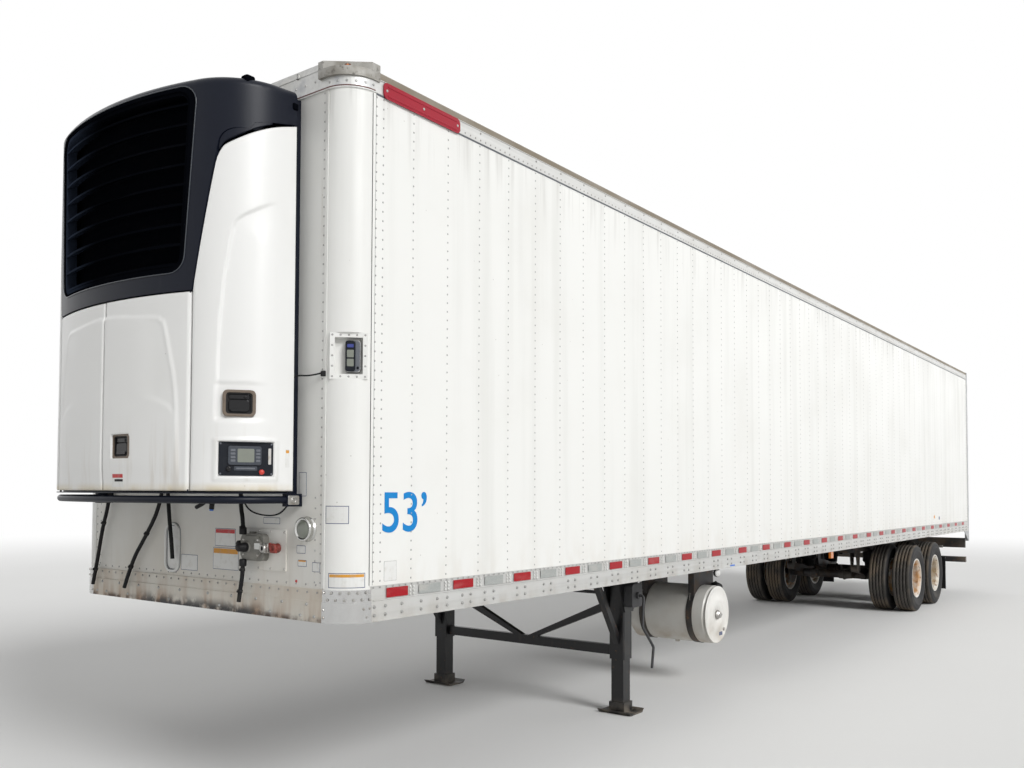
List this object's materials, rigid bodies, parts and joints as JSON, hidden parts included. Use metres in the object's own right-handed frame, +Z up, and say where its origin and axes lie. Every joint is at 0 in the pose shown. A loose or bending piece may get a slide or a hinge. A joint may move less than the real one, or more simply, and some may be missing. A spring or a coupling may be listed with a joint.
{
  "type": "refrigerated semi trailer",
  "caption": "Long white refrigerated van semi trailer on landing gear, with a cooling unit in front, a sliding tandem and swinging rear doors.",
  "frame": {"origin": "on the ground, under the middle of the whole trailer", "axes": "+X towards the front, +Y to the left side, +Z up"},
  "size_m": [16.816, 2.6, 4.122],
  "materials": {
    "panel_white": "satin",
    "unit_white": "gloss",
    "rail_aluminium": "weathered",
    "cap_grey": "weathered",
    "frame_dark": "worn",
    "cowl_dark": "satin",
    "sill_rusty": "rusty",
    "galvanised": "satin",
    "floor_aluminium": "satin",
    "tank_pale": "worn",
    "wheel_white": "worn",
    "tyre": "dusty",
    "rubber": "matt",
    "lamp_red": "gloss",
    "lamp_amber": "gloss",
    "box_grey": "satin"
  },
  "bodies": {
    "trailer": {"bottom_rails": "rail_aluminium", "corner_caps": "cap_grey", "coupler_plate": "frame_dark", "crossmembers": "frame_dark", "door_hinges": "galvanised", "drain_hose_far": "rubber", "drain_hose_mid": "rubber", "drain_hose_near": "rubber", "evaporator_housing": "panel_white", "floor": "floor_aluminium", "front_corner_left": "panel_white", "front_corner_right": "panel_white", "front_header": "rail_aluminium", "front_sill": "sill_rusty", "front_wall": "panel_white", "fuel_tank": "tank_pale", "gauge_box": "box_grey", "kingpin": "frame_dark", "landing_legs": "frame_dark", "leg_braces": "frame_dark", "leg_crank": "frame_dark", "nose_box": "box_grey", "nose_cable": "rubber", "nose_harness": "rubber", "rear_frame": "galvanised", "rear_guard": "galvanised", "rear_lamps": "lamp_red", "roof": "rail_aluminium", "side_markers": "lamp_amber", "side_wall_left": "panel_white", "side_wall_right": "panel_white", "slide_rails": "frame_dark", "tank_straps": "frame_dark", "top_rails": "rail_aluminium", "unit_bumper": "cowl_dark", "unit_frame": "cowl_dark", "unit_grille": "cowl_dark", "unit_machinery": "frame_dark", "unit_shroud": "cowl_dark"},
    "tandem": {"slider_frame": "frame_dark", "trailing_arms": "frame_dark", "axles": "frame_dark", "air_springs": "rubber", "mud_flaps": "rubber"},
    "rear_door_left": {"rear_door_left": "panel_white", "lock_rods_left": "galvanised"},
    "rear_door_right": {"rear_door_right": "panel_white", "lock_rods_right": "galvanised"},
    "unit_front_door_left": {"unit_front_door_left": "unit_white"},
    "unit_front_door_right": {"unit_front_door_right": "unit_white"},
    "unit_side_door_left": {"unit_side_door_left": "unit_white"},
    "unit_side_door_right": {"unit_side_door_right": "unit_white"},
    "wheels_front_left": {"wheels_front_left": "wheel_white", "tyres_front_left": "tyre"},
    "wheels_front_right": {"wheels_front_right": "wheel_white", "tyres_front_right": "tyre"},
    "wheels_rear_left": {"wheels_rear_left": "wheel_white", "tyres_rear_left": "tyre"},
    "wheels_rear_right": {"wheels_rear_right": "wheel_white", "tyres_rear_right": "tyre"}
  },
  "joints": [
    {"name": "rear_door_left_hinge", "type": "hinge", "parent": "trailer", "child": "rear_door_left", "pos_m": [-8.38, 1.284, 2.7], "axis": [0, 0, -1], "range_deg": [0, 260]},
    {"name": "rear_door_right_hinge", "type": "hinge", "parent": "trailer", "child": "rear_door_right", "pos_m": [-8.38, -1.284, 2.7], "axis": [0, 0, 1], "range_deg": [0, 260]},
    {"name": "unit_front_door_left_hinge", "type": "hinge", "parent": "trailer", "child": "unit_front_door_left", "pos_m": [8.3024, 0.6355, 2.33], "axis": [0, 0, 1], "range_deg": [0, 100]},
    {"name": "unit_side_door_left_hinge", "type": "hinge", "parent": "trailer", "child": "unit_side_door_left", "pos_m": [7.8805, 0.93592, 2.8], "axis": [0, 0, 1], "range_deg": [0, 100]},
    {"name": "unit_front_door_right_hinge", "type": "hinge", "parent": "trailer", "child": "unit_front_door_right", "pos_m": [8.3024, -0.6355, 2.33], "axis": [0, 0, -1], "range_deg": [0, 100]},
    {"name": "unit_side_door_right_hinge", "type": "hinge", "parent": "trailer", "child": "unit_side_door_right", "pos_m": [7.8805, -0.93592, 2.8], "axis": [0, 0, -1], "range_deg": [0, 100]},
    {"name": "tandem_slide", "type": "slide", "parent": "trailer", "child": "tandem", "axis": [1, 0, 0], "range_m": [-1.372, 1.067]},
    {"name": "wheels_front_left_spin", "type": "hinge", "parent": "tandem", "child": "wheels_front_left", "pos_m": [-4.382, 0.984, 0.507], "axis": [0, 1, 0], "continuous": true},
    {"name": "wheels_front_right_spin", "type": "hinge", "parent": "tandem", "child": "wheels_front_right", "pos_m": [-4.382, -0.984, 0.507], "axis": [0, 1, 0], "continuous": true},
    {"name": "wheels_rear_left_spin", "type": "hinge", "parent": "tandem", "child": "wheels_rear_left", "pos_m": [-5.629, 0.984, 0.507], "axis": [0, 1, 0], "continuous": true},
    {"name": "wheels_rear_right_spin", "type": "hinge", "parent": "tandem", "child": "wheels_rear_right", "pos_m": [-5.629, -0.984, 0.507], "axis": [0, 1, 0], "continuous": true}
  ]
}
